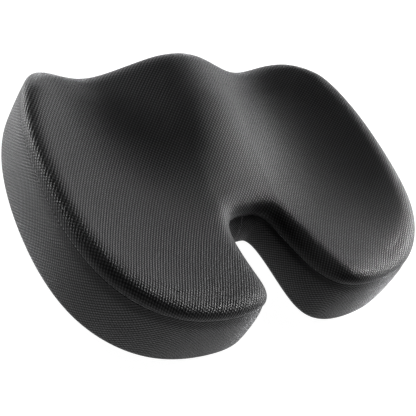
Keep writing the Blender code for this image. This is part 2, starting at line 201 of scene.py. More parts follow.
def outline_point(u, outset):
    """The outline at parameters u, moved outwards by outset: one row (x, y) for each."""
    u = np.asarray(u, float)
    mirrored = OUTLINE * (-1, 1)
    padded = np.vstack([mirrored[1:2], OUTLINE, mirrored[-2:-1]])
    start = np.minimum(u.astype(int), LAST - 1)
    f = u - start
    weights = ((1 - f) ** 3, 3 * f**3 - 6 * f**2 + 4, -3 * f**3 + 3 * f**2 + 3 * f + 1, f**3)
    slopes = (-((1 - f) ** 2), 3 * f**2 - 4 * f, -3 * f**2 + 2 * f + 1, f**2)
    point = sum(w[:, None] * padded[start + k] for k, w in enumerate(weights)) / 6
    along = sum(w[:, None] * padded[start + k] for k, w in enumerate(slopes))
    along /= np.linalg.norm(along, axis=1)[:, None]
    outset = np.broadcast_to(outset, u.shape)[:, None]
    return point + outset * np.stack([-along[:, 1], along[:, 0]], 1)


def flare(u):
    """How far the wall's foot stands out: little at the front corners, most in the notch."""
    u = np.asarray(u, float)
    out = FLARE + 0 * u
    for place, width, change in FLARE_CHANGES:
        out = out + change * np.exp(-(((u - place) / width) ** 2))
    return out


def with_height(plan, z):
    return np.column_stack([plan, np.broadcast_to(z, len(plan))])


def edge_point(u, angle, inset):
    """The rounding between top and wall, from angle 0 on top to a right angle at the wall."""
    width = EDGE_WIDTH - inset
    drop = (EDGE_RADIUS - inset) * (1 - math.cos(angle))
    plan = outline_point(u, width * math.sin(angle) - EDGE_WIDTH)
    return with_height(plan, top_height(*plan.T) - TOP_DROP * inset - drop)


def wall_at(u, z, inset=0.0):
    """The wall, curved outwards to its foot; low fronts reach the zip's plane more quickly."""
    top = edge_point(u, math.pi / 2, inset)[:, 2]
    fraction = np.clip((top - z) / (top - BOTTOM_RADIUS), 0, 1)
    in_valley = np.exp(-(((np.asarray(u, float) - VALLEY_AT) / VALLEY_SPAN) ** 2))
    power = WALL_POWER + VALLEY_POWER * in_valley
    return with_height(outline_point(u, flare(u) * (1 - (1 - fraction) ** power) - inset), z)


def foot_point(u, angle, inset, floor):
    """The rounding between wall and underside, in the same way."""
    radius = BOTTOM_RADIUS - inset - floor
    plan = outline_point(u, flare(u) - inset - radius * (1 - math.cos(angle)))
    return with_height(plan, inset + floor + radius * (1 - math.sin(angle)))


def long_steps():
    """Fractions along the long sides for the columns; one column is at the end of the window."""
    steps = np.linspace(0, 1, LONG_STEPS + 1)
    fine = np.linspace(0, 0.5, 4001)
    across = outline_point(fine * LOBE_OUTER, flare(fine * LOBE_OUTER))[:, 0]
    end = fine[np.argmin(np.abs(across - WINDOW_HALF))]
    steps[np.argmin(np.abs(steps - end))] = end
    return steps


def patch_plan(outset):
    """The half plan as a grid, [from the symmetry plane to the lobe, from notch to rim]."""
    s = long_steps()
    v = np.linspace(0, 1, LOBE_STEPS + 1)

    def edge(u):
        return outline_point(u, outset(u))

    outer = edge(s * LOBE_OUTER)[:, None]
    inner = edge(LAST - s * (LAST - LOBE_INNER))[:, None]
    lobe = edge(LOBE_INNER + (LOBE_OUTER - LOBE_INNER) * v)[None]
    s, v = s[:, None, None], v[None, :, None]
    corners = (1 - v) * lobe[:, :1] + v * lobe[:, -1:]
    return (1 - v) * inner + v * outer + s * (lobe - corners)


def rim_parameters():
    outer = long_steps() * LOBE_OUTER
    lobe = np.linspace(LOBE_OUTER, LOBE_INNER, LOBE_STEPS + 1)[1:]
    notch = LAST - (LAST - LOBE_INNER) * long_steps()[-2::-1]
    return np.concatenate([outer, lobe, notch])


def both_halves(points):
    """Points of the right half's rim, from front to notch, then the left half's back again."""
    return np.vstack([points, points[-2:0:-1] * (-1, 1, 1)])


def top_rim(u):
    return -EDGE_WIDTH + 0 * u


def base_rim(u):
    return flare(u) - BOTTOM_RADIUS


def sheet_grid(outset, height):
    """The whole plan as a grid of points [left lobe to right lobe, notch to rim]."""
    half = patch_plan(outset)
    z = height(half[..., 0], half[..., 1])
    half = np.dstack([half, np.broadcast_to(z, half.shape[:2])])
    return np.concatenate([half[:0:-1] * (-1, 1, 1), half])


def grid_faces(index, facing_up):
    a, b = index[:-1, :-1].ravel(), index[1:, :-1].ravel()
    c, d = index[1:, 1:].ravel(), index[:-1, 1:].ravel()
    return np.column_stack([a, b, c, d] if facing_up else [a, d, c, b])


def grid_rim(index):
    """Indices round a whole-plan grid, starting at the middle of the front, right side first."""
    middle = LONG_STEPS
    right = np.concatenate([
        index[middle:, -1], index[-1, -2::-1], index[-2:middle - 1:-1, 0],
    ])
    left = np.concatenate([
        index[middle - 1::-1, 0], index[0, 1:], index[1:middle, -1],
    ])
    return np.concatenate([right, left])


def band_heights(rim, high, low):
    """Heights of the band's rows. At the front, one row runs along the top of the zip's window."""
    even = np.linspace(0, 1, BAND_STEPS + 1)[:, None]
    plain = high + (low - high) * (EVEN_SHARE * even + (1 - EVEN_SHARE) * smoothstep(even))
    upper = np.linspace(0, 1, WINDOW_ROW + 1)[:, None]
    lower = np.linspace(0, 1, BAND_STEPS - WINDOW_ROW + 1)[1:, None]
    above = high + (WINDOW_TOP - high) * upper
    below = WINDOW_TOP + (low - WINDOW_TOP) * lower + 0 * high
    share = smoothstep((rim - WINDOW_ROWS_END[0]) / WINDOW_ROWS_END[1])
    return np.vstack([above, below]) * (1 - share) + plain * share


def closed_skin(inset, floor):
    """The whole outer skin: points, faces, each face's region, and the loops of points round it."""
    rim = rim_parameters()
    drop = TOP_DROP * inset
    top = sheet_grid(top_rim, lambda x, y: top_height(x, y) - drop)
    base = sheet_grid(lambda u: base_rim(u) + floor, lambda x, y: inset + floor + 0 * x)
    count = top.shape[0] * top.shape[1]
    top_index = np.arange(count).reshape(top.shape[:2])
    rings = [edge_point(rim, math.pi / 2 * k / EDGE_STEPS, inset) for k in range(1, EDGE_STEPS + 1)]
    high = rings[-1][:, 2] - SEAM_DROP
    low = BOTTOM_RADIUS + SEAM_DROP
    for z in band_heights(rim, high, low):
        rings.append(wall_at(rim, z, inset))
    for k in range(FOOT_STEPS):
        rings.append(foot_point(rim, math.pi / 2 * k / FOOT_STEPS, inset, floor))
    rings = [both_halves(ring) for ring in rings]
    around = len(rings[0])
    ring_index = count + np.arange(len(rings) * around).reshape(len(rings), around)
    base_index = count + len(rings) * around + np.arange(count).reshape(top.shape[:2])
    loops = [grid_rim(top_index), *ring_index, grid_rim(base_index)]
    faces = [grid_faces(top_index, True)]
    region = [np.zeros(len(faces[0]), int)]
    for k, (upper, lower) in enumerate(zip(loops, loops[1:])):
        faces.append(np.column_stack([upper, np.roll(upper, -1), np.roll(lower, -1), lower]))
        region.append(np.full(around, 0 if k < SEAM else 1 if k < BASE_SEAM else 2))
    faces.append(grid_faces(base_index, False))
    region.append(np.full(len(faces[-1]), 2))
    points = np.vstack([top.reshape(-1, 3), *rings, base.reshape(-1, 3)])
    return points, np.vstack(faces), np.concatenate(region), loops


def make_mesh_object(name, points, faces, smooth=True):
    mesh = bpy.data.meshes.new(name)
    mesh.from_pydata((np.asarray(points) * MM).tolist(), [], np.asarray(faces).tolist())
    if smooth:
        mesh.shade_smooth()
    obj = bpy.data.objects.new(name, mesh)
    scene.collection.objects.link(obj)
    return obj


def read_points(mesh):
    flat = np.zeros(len(mesh.vertices) * 3, np.float32)
    mesh.vertices.foreach_get("co", flat)
    return flat.reshape(-1, 3).astype(float) / MM


def swell(points, faces, held):
    """Fills the cover by cloth simulation; held vertices, such as seams, stay where they are."""
    pad = make_mesh_object("swelling_cover", points, faces)
    group = pad.vertex_groups.new(name="held")
    group.add([int(i) for i in np.flatnonzero(held)], 1.0, "REPLACE")
    cloth = pad.modifiers.new("Cloth", "CLOTH")
    settings = cloth.settings
    settings.quality = 5
    settings.mass = 0.3
    settings.tension_stiffness = 15
    settings.compression_stiffness = 15
    settings.bending_stiffness = 2.0
    settings.use_pressure = True
    settings.uniform_pressure_force = SWELL_PRESSURE
    settings.effector_weights.gravity = 0
    settings.vertex_group_mass = "held"
    cloth.collision_settings.use_collision = False
    cloth.point_cache.frame_start = 1
    cloth.point_cache.frame_end = SWELL_FRAMES
    for number in range(1, SWELL_FRAMES + 1):
        scene.frame_set(number)
    shown = pad.evaluated_get(bpy.context.evaluated_depsgraph_get())
    moved = read_points(shown.data) - points
    bpy.data.objects.remove(pad)
    scene.frame_set(1)
    moved = even_out(moved, faces, held)
    length = np.linalg.norm(moved, axis=1)[:, None]
    return points + moved / (1 + length / SWELL_LIMIT)


def even_out(moved, faces, held):
    """Irons out the folds of a movement by averaging it over neighbours."""
    start = faces.ravel()
    end = np.roll(faces, -1, axis=1).ravel()
    count = np.bincount(start, minlength=len(moved))[:, None]
    for _ in range(SMOOTH_ROUNDS):
        total = np.zeros_like(moved)
        for axis in range(3):
            total[:, axis] = np.bincount(start, moved[end, axis], len(moved))
        moved = 0.5 * moved + 0.5 * total / np.maximum(count, 1)
        moved[held] = 0
    return moved


def surface_normals(points, faces):
    quads = points[faces]
    cross = np.cross(quads[:, 2] - quads[:, 0], quads[:, 3] - quads[:, 1])
    normals = np.zeros_like(points)
    for k in range(4):
        np.add.at(normals, faces[:, k], cross)
    return normals / np.maximum(np.linalg.norm(normals, axis=1), 1e-12)[:, None]


def take_piece(name, points, faces, wanted, weave, painted_shade):
    """An object of the wanted faces, with the weave as its UV map, in pitches, and the painted seam shade
    as an attribute.
    """
    kept = faces[wanted]
    used, compact = np.unique(kept, return_inverse=True)
    obj = make_mesh_object(name, points[used], compact.reshape(-1, 4))
    layer = obj.data.uv_layers.new(name="weave")
    corners = np.asarray(weave)[kept].reshape(-1, 2)
    layer.data.foreach_set("uv", corners.astype(np.float32).ravel())
    attribute = obj.data.attributes.new("painted_shade", "FLOAT", "POINT")
    attribute.data.foreach_set("value", painted_shade[used].astype(np.float32))
    return obj


def add_subdivision(obj):
    modifier = obj.modifiers.new("Subdivision", "SUBSURF")
    modifier.levels = 1
    modifier.render_levels = 1
    modifier.uv_smooth = "PRESERVE_BOUNDARIES"


def add_thickness(obj, thickness):
    """Gives a sheet its thickness, inwards from the face it has."""
    modifier = obj.modifiers.new("Thickness", "SOLIDIFY")
    modifier.thickness = thickness * MM
    modifier.offset = -1.0


# --- Materials ----------------------------------------------------------------------------------
class Nodes:
    """Shorthand for building a material's nodes."""

    def __init__(self, name):
        self.material = bpy.data.materials.new(name)
        self.material.use_nodes = True
        self.tree = self.material.node_tree
        self.shader = self.tree.nodes["Principled BSDF"]

    def add(self, kind, **inputs):
        node = self.tree.nodes.new(kind)
        for key, value in inputs.items():
            self.feed(node.inputs[key.replace("_", " ")], value)
        return node

    def feed(self, socket, value):
        if isinstance(value, bpy.types.NodeSocket):
            self.tree.links.new(value, socket)
        else:
            socket.default_value = value

    def math(self, operation, *values, clamp=False):
        node = self.tree.nodes.new("ShaderNodeMath")
        node.operation = operation
        node.use_clamp = clamp
        for socket, value in zip(node.inputs, values):
            self.feed(socket, value)
        return node.outputs[0]

    def ramp(self, value, low, high, new_low=0.0, new_high=1.0):
        node = self.tree.nodes.new("ShaderNodeMapRange")
        node.interpolation_type = "SMOOTHSTEP"
        for key, given in zip(("Value", "From Min", "From Max", "To Min", "To Max"),
                              (value, low, high, new_low, new_high)):
            self.feed(node.inputs[key], given)
        return node.outputs[0]

    def noise(self, vector, scale, detail=2.0):
        node = self.add("ShaderNodeTexNoise", Vector=vector, Scale=scale, Detail=detail)
        return node.outputs["Fac"]

    def mix_colour(self, factor, first, second):
        node = self.tree.nodes.new("ShaderNodeMix")
        node.data_type = "RGBA"
        self.feed(node.inputs[0], factor)
        self.feed(node.inputs[6], first)
        self.feed(node.inputs[7], second)
        return node.outputs[2]

    def bump(self, height, distance, strength=1.0, under=None):
        node = self.add("ShaderNodeBump", Height=height, Distance=distance, Strength=strength)
        if under is not None:
            self.feed(node.inputs["Normal"], under)
        return node.outputs[0]

    def set(self, **inputs):
        for key, value in inputs.items():
            self.feed(self.shader.inputs[key.replace("_", " ")], value)


def rgba(red, green, blue):
    return (red, green, blue, 1.0)


def place_of(nodes):
    return nodes.add("ShaderNodeTexCoord").outputs["Object"]


def weave_axes(nodes):
    """The weave coordinates, in pitches of the holes, as two sockets."""
    uv = nodes.tree.nodes.new("ShaderNodeUVMap")
    uv.uv_map = "weave"
    parts = nodes.add("ShaderNodeSeparateXYZ", Vector=uv.outputs[0])
    return parts.outputs[0], parts.outputs[1]


def wave(nodes, value, rate=1.0):
    """A cosine, that many periods to one unit of the value."""
    return nodes.math("COSINE", nodes.math("MULTIPLY", value, 2 * math.pi * rate))


def mesh_fabric():
    """Spacer mesh: staggered holes between knitted ribs, over fine yarn; painted shade darkens its colour
    along the top seam.
    """
    nodes = Nodes("mesh_fabric")
    across, along = weave_axes(nodes)
    place = place_of(nodes)
    wander = nodes.math("MULTIPLY", nodes.math("SUBTRACT", nodes.noise(place, 60.0), 0.5), 0.25)
    across = nodes.math("ADD", across, wander)
    column = wave(nodes, nodes.math("SUBTRACT", across, along))
    other = wave(nodes, nodes.math("ADD", across, along))
    column = nodes.math("MULTIPLY", column, SLANT_SHARE)
    other = nodes.math("MULTIPLY", other, 1 - SLANT_SHARE)
    cells = nodes.math("ADD", column, other)
    hole = nodes.ramp(cells, -0.3, 0.5)
    rib = nodes.ramp(cells, -0.1, -0.85)
    yarn = nodes.math("MULTIPLY", wave(nodes, across, 5.0), wave(nodes, along, 6.0))
    yarn = nodes.math("MULTIPLY", yarn, 0.16)
    patches = nodes.noise(place, 22.0, 4.0)
    tone = nodes.math("ADD", nodes.math("MULTIPLY", rib, 0.7), nodes.math("MULTIPLY", patches, 0.3))
    tone = nodes.math("ADD", tone, yarn, clamp=True)
    # Painted shade: this attribute darkens the cloth's colour along the top seam, where the crease would
    # be in shadow.
    seam = nodes.tree.nodes.new("ShaderNodeAttribute")
    seam.attribute_name = "painted_shade"
    tone = nodes.math("MULTIPLY", tone, nodes.ramp(seam.outputs["Fac"], 0.0, 1.0, 1.0, 0.15))
    cloth = nodes.mix_colour(tone, rgba(*YARN_DARK), rgba(*YARN_LIGHT))
    nodes.set(Base_Color=nodes.mix_colour(hole, cloth, rgba(*HOLE_COLOUR)))
    height = nodes.math("SUBTRACT", nodes.math("ADD", nodes.math("MULTIPLY", rib, 0.4), yarn), hole)
    nodes.set(
        Roughness=nodes.ramp(tone, 0.0, 1.0, 0.5, 0.38),
        Normal=nodes.bump(height, 0.35 * MM, 0.8),
        IOR=1.25,
        Sheen_Weight=0.5,
        Sheen_Roughness=0.25,
        Sheen_Tint=rgba(0.93, 0.94, 0.97),
    )
    return nodes.material


def grip_fabric():
    """Tight brushed knit for the underside."""
    nodes = Nodes("grip_fabric")
    place = place_of(nodes)
    axes = nodes.add("ShaderNodeSeparateXYZ", Vector=place)
    rows = nodes.math("ADD", axes.outputs[1], axes.outputs[2])
    knit = nodes.math("MULTIPLY", wave(nodes, axes.outputs[0], 600.0), wave(nodes, rows, 550.0))
    fuzz = nodes.noise(place, 900.0, 3.0)
    patches = nodes.noise(place, 18.0, 3.0)
    cloth = nodes.mix_colour(patches, rgba(0.014, 0.014, 0.015), rgba(0.026, 0.026, 0.028))
    height = nodes.math("ADD", nodes.math("MULTIPLY", knit, 0.3), fuzz)
    nodes.set(
        Base_Color=nodes.mix_colour(nodes.ramp(knit, 0.3, 0.9), cloth, rgba(0.007, 0.007, 0.008)),
        Roughness=nodes.ramp(fuzz, 0.3, 0.7, 0.75, 0.95),
        Normal=nodes.bump(height, 0.3 * MM, 0.8),
        Sheen_Weight=0.25,
        Sheen_Roughness=0.5,
    )
    return nodes.material


def silicone():
    nodes = Nodes("silicone")
    place = place_of(nodes)
    specks = nodes.noise(place, 400.0, 2.0)
    nodes.set(
        Base_Color=nodes.mix_colour(specks, rgba(0.018, 0.018, 0.019), rgba(0.03, 0.03, 0.032)),
        Roughness=nodes.ramp(specks, 0.3, 0.7, 0.32, 0.5),
        Normal=nodes.bump(specks, 0.05 * MM, 0.5),
    )
    return nodes.material


def foam_material():
    """Open-cell foam, slightly yellowed."""
    nodes = Nodes("foam")
    place = place_of(nodes)
    cells = nodes.add("ShaderNodeTexVoronoi", Vector=place, Scale=700.0).outputs["Distance"]
    patches = nodes.noise(place, 12.0, 3.0)
    nodes.set(
        Base_Color=nodes.mix_colour(patches, rgba(0.83, 0.79, 0.66), rgba(0.74, 0.67, 0.5)),
        Roughness=nodes.ramp(cells, 0.0, 0.6, 0.95, 0.8),
        Normal=nodes.bump(cells, 0.4 * MM, 0.7),
        Sheen_Weight=0.2,
    )
    return nodes.material


def tape_material():
    """Woven zip tape: fine herringbone ribs."""
    nodes = Nodes("zip_tape")
    place = nodes.add("ShaderNodeSeparateXYZ", Vector=place_of(nodes))
    x, z = place.outputs[0], place.outputs[2]
    slant = nodes.math("ADD", x, nodes.math("PINGPONG", z, 1.2 * MM))
    rib = nodes.math("SINE", nodes.math("MULTIPLY", slant, 2 * math.pi / (0.7 * MM)))
    tone = nodes.ramp(rib, -1.0, 1.0)
    nodes.set(
        Base_Color=nodes.mix_colour(tone, rgba(0.006, 0.006, 0.0065), rgba(0.02, 0.02, 0.021)),
        Roughness=nodes.ramp(rib, -1.0, 1.0, 0.9, 0.7),
        Normal=nodes.bump(rib, 0.12 * MM, 0.8),
        IOR=1.25,
        Sheen_Weight=0.05,
    )
    return nodes.material


def nylon():
    nodes = Nodes("zip_teeth")
    place = place_of(nodes)
    haze = nodes.noise(place, 300.0, 2.0)
    nodes.set(
        Base_Color=nodes.mix_colour(haze, rgba(0.012, 0.012, 0.013), rgba(0.022, 0.022, 0.024)),
        Roughness=nodes.ramp(haze, 0.3, 0.7, 0.28, 0.42),
    )
    return nodes.material


def lacquer():
    """Black lacquered zinc, rubbed in a few spots."""
    nodes = Nodes("zip_metal")
    place = place_of(nodes)
    worn = nodes.ramp(nodes.noise(place, 340.0, 5.0), 0.62, 0.72)
    haze = nodes.noise(place, 260.0, 4.0)
    nodes.set(
        Base_Color=nodes.mix_colour(worn, rgba(0.01, 0.01, 0.011), rgba(0.05, 0.049, 0.048)),
        Metallic=nodes.ramp(worn, 0.0, 1.0, 0.0, 0.6),
        Roughness=nodes.ramp(haze, 0.3, 0.7, 0.42, 0.55),
        IOR=1.3,
        Normal=nodes.bump(haze, 0.04 * MM, 0.4),
    )
    return nodes.material


def satin():
    """Light grey satin ribbon for the label."""
    nodes = Nodes("label")
    place = nodes.add("ShaderNodeSeparateXYZ", Vector=place_of(nodes))
    ribs = nodes.math("SINE", nodes.math("MULTIPLY", place.outputs[2], 2 * math.pi / (0.5 * MM)))
    patches = nodes.noise(place_of(nodes), 90.0, 3.0)
    nodes.set(
        Base_Color=nodes.mix_colour(patches, rgba(0.17, 0.17, 0.165), rgba(0.135, 0.135, 0.13)),
        Roughness=nodes.ramp(ribs, -1.0, 1.0, 0.5, 0.65),
        Normal=nodes.bump(ribs, 0.05 * MM, 0.5),
        Sheen_Weight=0.15,
    )
    return nodes.material


def thread_material():
    nodes = Nodes("thread")
    place = place_of(nodes)
    twist = nodes.noise(place, 1500.0, 1.0)
    nodes.set(
        Base_Color=nodes.mix_colour(twist, rgba(0.015, 0.015, 0.016), rgba(0.04, 0.04, 0.043)),
        Roughness=nodes.ramp(twist, 0.3, 0.7, 0.55, 0.75),
        Normal=nodes.bump(twist, 0.05 * MM, 0.5),
    )
    return nodes.material


# --- Cover --------------------------------------------------------------------------------------
def make_cover(materials):
    points, faces, region, loops = closed_skin(SWELL_INSET, DOT_HEIGHT)
    at_rest = points.copy()
    points = swell(points, faces, held_vertices(points, loops))
    points = groove(points, surface_normals(points, faces), loops)
    weave = weave_coordinates(at_rest, loops)
    # painted shade along the top seam, kept as an attribute that darkens the cloth's colour
    painted_shade = painted_seam_shade(len(points), loops)
    front = front_faces(loops, faces)
    under_zip = front & (region == 1) & (at_rest[faces][:, :, 2].mean(axis=1) < BOTTOM_RADIUS + SEAM_DROP)
    band = (region == 1) & ~window_faces(at_rest, faces) & ~under_zip
    panels = (
        ("cover_top_panel", "cover_top", region == 0, weave[0], "mesh_fabric"),
        ("cover_side_panel", "cover_side_band", band & ~front, weave[1], "mesh_fabric"),
        ("cover_front_panel", "cover_front_band", band & front, weave[1], "mesh_fabric"),
        ("cover_base_panel", "cover_bottom", (region == 2) | under_zip, weave[0], "grip_fabric"),
    )
    for name, node, wanted, uv, slot in panels:
        obj = take_piece(name, points, faces, wanted, uv, painted_shade)
        add_subdivision(obj)
        add_thickness(obj, FABRIC)
        add_piece(obj, materials[slot], node)
    make_seam_threads(points, faces, loops, materials["thread"])
    return BVHTree.FromPolygons((points * MM).tolist(), faces.tolist())


def make_seam_threads(points, faces, loops, material):
    """The threads that close the top seam and the bottom seam, deep between the panels."""
    normals = surface_normals(points, faces)
    for name, number in (("top_seam_thread", SEAM), ("base_seam_thread", BASE_SEAM)):
        loop = loops[number]
        path = points[loop] - THREAD_DEPTH * normals[loop]
        path = np.vstack([path, path[:1]])
        outward = np.vstack([normals[loop], normals[loop[:1]]])
        add_piece(make_tube(name, path, outward, THREAD_RADIUS), material, None)


def painted_seam_shade(count, loops):
    """How much painted shade each vertex in the top seam's rows gets, 0 to 1: it darkens the cloth's
    colour there.
    """
    painted_shade = np.zeros(count)
    for away, value in zip((-2, -1, 0, 1, 2), PAINTED_SEAM_SHADES):
        painted_shade[loops[SEAM + away]] = value
    return painted_shade


def held_vertices(points, loops):
    """Vertices the pressure doesn't move: both seams, the underside and the zip's surround."""
    held = np.zeros(len(points), bool)
    for number in (SEAM, *range(FOOT, len(loops))):
        held[loops[number]] = True
    held[loops[-1].min():] = True
    x, y, z = points.T
    held |= (np.abs(x) < WINDOW_HALF + 6) & (y > 0) & (z < WINDOW_TOP + 1)
    return held


def window_faces(points, faces):
    x, y, z = points[faces].mean(axis=1).T
    return (np.abs(x) < WINDOW_HALF) & (y > 0) & (z < WINDOW_TOP) & (z > BOTTOM_RADIUS + SEAM_DROP)


def groove(points, normals, loops):
    """Pulls the cloth in along both seams, and along the band's two upright seams."""
    depth = np.zeros(len(points))
    rim = rim_parameters()
    share = SEAM_LEAST + (1 - SEAM_LEAST) * smoothstep((rim - SEAM_DEEPENS[0]) / SEAM_DEEPENS[1])
    share = np.concatenate([share, share[-2:0:-1]])
    for away, pull in zip((-2, -1, 0, 1, 2), SEAM_DEPTHS):
        depth[loops[SEAM + away]] = pull * share
    for away, pull in zip((-2, -1, 0, 1, 2), BASE_DEPTHS):
        if BASE_SEAM + away < len(loops):
            depth[loops[BASE_SEAM + away]] = pull
    column = int(np.argmin(np.abs(rim[:LONG_STEPS] - BAND_END)))
    around = len(loops[0])
    for away, pull in zip((-1, 0, 1), UPRIGHT_DEPTHS):
        for place in (column + away, around - column - away):
            upright = [loop[place] for loop in loops[SEAM:FOOT + 1]]
            depth[upright] = np.maximum(depth[upright], pull)
    return points - normals * depth[:, None]


def weave_coordinates(points, loops):
    """For panels, the plan position unrolled over the rounding; for bands, length and height."""
    panel = points[:, :2].copy()
    rim = loops[0]
    outward = points[loops[SEAM]][:, :2] - points[rim][:, :2]
    outward /= np.linalg.norm(outward, axis=1)[:, None]
    run = np.zeros(len(rim))
    for upper, lower in zip(loops[:SEAM], loops[1:SEAM + 1]):
        run += np.linalg.norm(points[lower] - points[upper], axis=1)
        panel[lower] = points[rim][:, :2] + outward * run[:, None]
    band = np.zeros((len(points), 2))
    ring = points[loops[SEAM]]
    step = np.linalg.norm(np.roll(ring, -1, 0)[:, :2] - ring[:, :2], axis=1)
    half = len(ring) // 2
    length = np.concatenate([[0], np.cumsum(step)])[:-1]
    total = length[half]
    length = np.where(np.arange(len(ring)) <= half, length, length - 2 * total)
    length *= round(total / BAND_PITCH[0]) * BAND_PITCH[0] / total
    band[loops[SEAM], 0] = length
    for upper, lower in zip(loops[SEAM:BASE_SEAM], loops[SEAM + 1:BASE_SEAM + 1]):
        band[lower, 0] = length
        band[lower, 1] = band[upper, 1] + np.linalg.norm(points[lower] - points[upper], axis=1)
    x, y = panel.T
    panel = np.column_stack([x / (1 + FAN * y) / TOP_PITCH[0], (y + FAN / 2 * x * x) / TOP_PITCH[1]])
    return panel, band / BAND_PITCH


def front_faces(loops, faces):
    """True for faces whose four corners lie between the upright front seams."""
    rim = rim_parameters()
    near = np.arange(len(rim)) <= np.argmin(np.abs(rim[:LONG_STEPS] - BAND_END))
    whole = np.concatenate([near, near[-2:0:-1]])
    flag = np.zeros(faces.max() + 1, bool)
    for loop in loops:
        flag[loop[whole]] = True
    return flag[faces].all(axis=1)


def make_foam(material):
    points, faces, _, loops = closed_skin(FOAM_INSET, 0.0)
    points = groove(points, surface_normals(points, faces), loops)
    obj = make_mesh_object("foam_block", points, faces)
    add_piece(obj, material, "foam_core")


def add_piece(obj, material, node):
    """Gives a piece its material, hangs it on the cushion's body and hides the CAD solid it stands for;
    node is that solid, if any.
    """
    obj.data.materials.append(material)
    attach(obj, "cushion")
    if node:
        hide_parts(node)


def make_tapes(front_y, material):
    """Both zip tapes: woven strips that step back to lie behind the coils."""
    for name, node, side, edge in (
        ("zip_tape_high", "zip_tape_upper", 1, TAPE_TOP),
        ("zip_tape_low", "zip_tape_lower", -1, TAPE_BOTTOM),
    ):
        away = np.array([*TAPE_ROWS, abs(edge - ZIP_Z)])
        behind = away < TAPE_STEP
        back = np.where(behind, TAPE_BEHIND, TAPE_FACE)
        thickness = np.where(behind, TAPE_THIN, TAPE_THICKNESS)
        depth = np.where(behind, 0.0, TAPE_RIPPLE[0])
        x, across = np.meshgrid(np.linspace(-WINDOW_HALF, WINDOW_HALF, 161), away, indexing="ij")
        ripple = depth * (1 - np.cos(2 * math.pi * x / TAPE_RIPPLE[1] + 0.5 * across))
        face = front_y + back - ripple
        z = ZIP_Z + side * across
        outer = np.stack([x, face, z], axis=-1).reshape(-1, 3)
        inner = np.stack([x, face - thickness, z], axis=-1).reshape(-1, 3)
        index = np.arange(x.size).reshape(x.shape)
        shell = [grid_faces(index, side < 0), grid_faces(index + x.size, side > 0)]
        rim = np.concatenate([index[:, 0], index[-1, 1:], index[-2::-1, -1], index[0, -2:0:-1]])
        after = np.roll(rim, -1)
        border = np.column_stack([rim, after, after + x.size, rim + x.size])
        shell.append(border if side < 0 else border[:, ::-1])
        obj = make_mesh_object(name, np.vstack([outer, inner]), np.vstack(shell), smooth=False)
        add_piece(obj, material, node)


def make_shade_strip(front_y, material):
    """A dark cloth strip that lies behind the zip, between it and the foam: painted shade that hides the
    pale foam between the coils.
    """
    across = np.linspace(-SHADE_STRIP_HALF, SHADE_STRIP_HALF, 61)
    x, z = np.meshgrid(across, np.linspace(*SHADE_STRIP_HEIGHTS, 9), indexing="ij")
    points = np.stack([x, front_y + SHADE_STRIP_FACE + 0 * x, z], axis=-1).reshape(-1, 3)
    obj = make_mesh_object("zip_shade_strip", points, grid_faces(np.arange(x.size).reshape(x.shape), False))
    add_thickness(obj, SHADE_STRIP_THICKNESS)
    add_piece(obj, material, None)


def make_coils(front_y, material):
    """Both rows of the zip: nylon coils whose loops lie between each other."""
    turns = int(2 * ROW_HALF / COIL_PITCH)
    for name, node, side in (
        ("zip_coil_high", "zip_teeth_upper", 1),
        ("zip_coil_low", "zip_teeth_lower", -1),
    ):
        step = np.arange(turns * COIL_STEPS + 1)
        angle = step * 2 * math.pi / COIL_STEPS + (side - 1) * math.pi / 2
        x = -ROW_HALF + COIL_PITCH * step / COIL_STEPS + COIL_WIRE
        round_y, round_z = np.sin(angle), side * np.cos(angle)
        y = front_y + COIL_CENTRE[0] + COIL_RADII[0] * round_y
        z = ZIP_Z + side * COIL_CENTRE[1] + COIL_RADII[1] * round_z
        path = np.column_stack([x, y, z])
        outward = np.column_stack([0 * x, round_y, round_z])
        add_piece(make_tube(name, path, outward, COIL_WIRE), material, node)


def make_tube(name, path, outward, radius, sides=6):
    """A tube along a path; outward gives, at each point, one direction across it."""
    along = np.gradient(path, axis=0)
    along /= np.linalg.norm(along, axis=1)[:, None]
    outward = outward - along * (outward * along).sum(axis=1)[:, None]
    outward /= np.linalg.norm(outward, axis=1)[:, None]
    sideways = np.cross(along, outward)
    turn = np.arange(sides) * 2 * math.pi / sides
    rings = path[:, None] + radius * (
        np.cos(turn)[None, :, None] * outward[:, None] + np.sin(turn)[None, :, None] * sideways[:, None]
    )
    index = np.arange(len(path) * sides).reshape(len(path), sides)
    closed = np.column_stack([index, index[:, 0]])
    faces = grid_faces(closed, False).tolist()
    faces.append(index[0].tolist())
    faces.append(index[-1][::-1].tolist())
    mesh = bpy.data.meshes.new(name)
    mesh.from_pydata((rings.reshape(-1, 3) * MM).tolist(), [], faces)
    mesh.shade_smooth()
    obj = bpy.data.objects.new(name, mesh)
    scene.collection.objects.link(obj)
    return obj


def on_cover(cover, x, z):
    """The cover's point and outward direction in front of x, z (mm)."""
    hit, normal, *_ = cover.ray_cast(Vector((x * MM, 0.3, z * MM)), Vector((0, -1, 0)))
    return np.array(hit) / MM, np.array(normal)


def add_stitches(bm, cover, places):
    """Short threads laid along a line of places on the cover."""
    length, width, height = STITCH_SIZE
    for start, end in places:
        first, normal = on_cover(cover, *start)
        second, _ = on_cover(cover, *end)
        middle = (first + second) / 2
        along = Vector(second - first).normalized()
        lift = Vector(normal)
        turn = Matrix((along, lift.cross(along), lift)).transposed().to_4x4()
        size = Matrix.Diagonal((length / 2 * MM, width / 2 * MM, height / 2 * MM, 1))
        place = Matrix.Translation(Vector(middle + normal * STITCH_LIFT) * MM)
        bmesh.ops.create_uvsphere(bm, u_segments=8, v_segments=6, radius=1, matrix=place @ turn @ size)


def make_bmesh_object(name, bm):
    mesh = bpy.data.meshes.new(name)
    bm.to_mesh(mesh)
    bm.free()
    mesh.shade_smooth()
    obj = bpy.data.objects.new(name, mesh)
    scene.collection.objects.link(obj)
    return obj


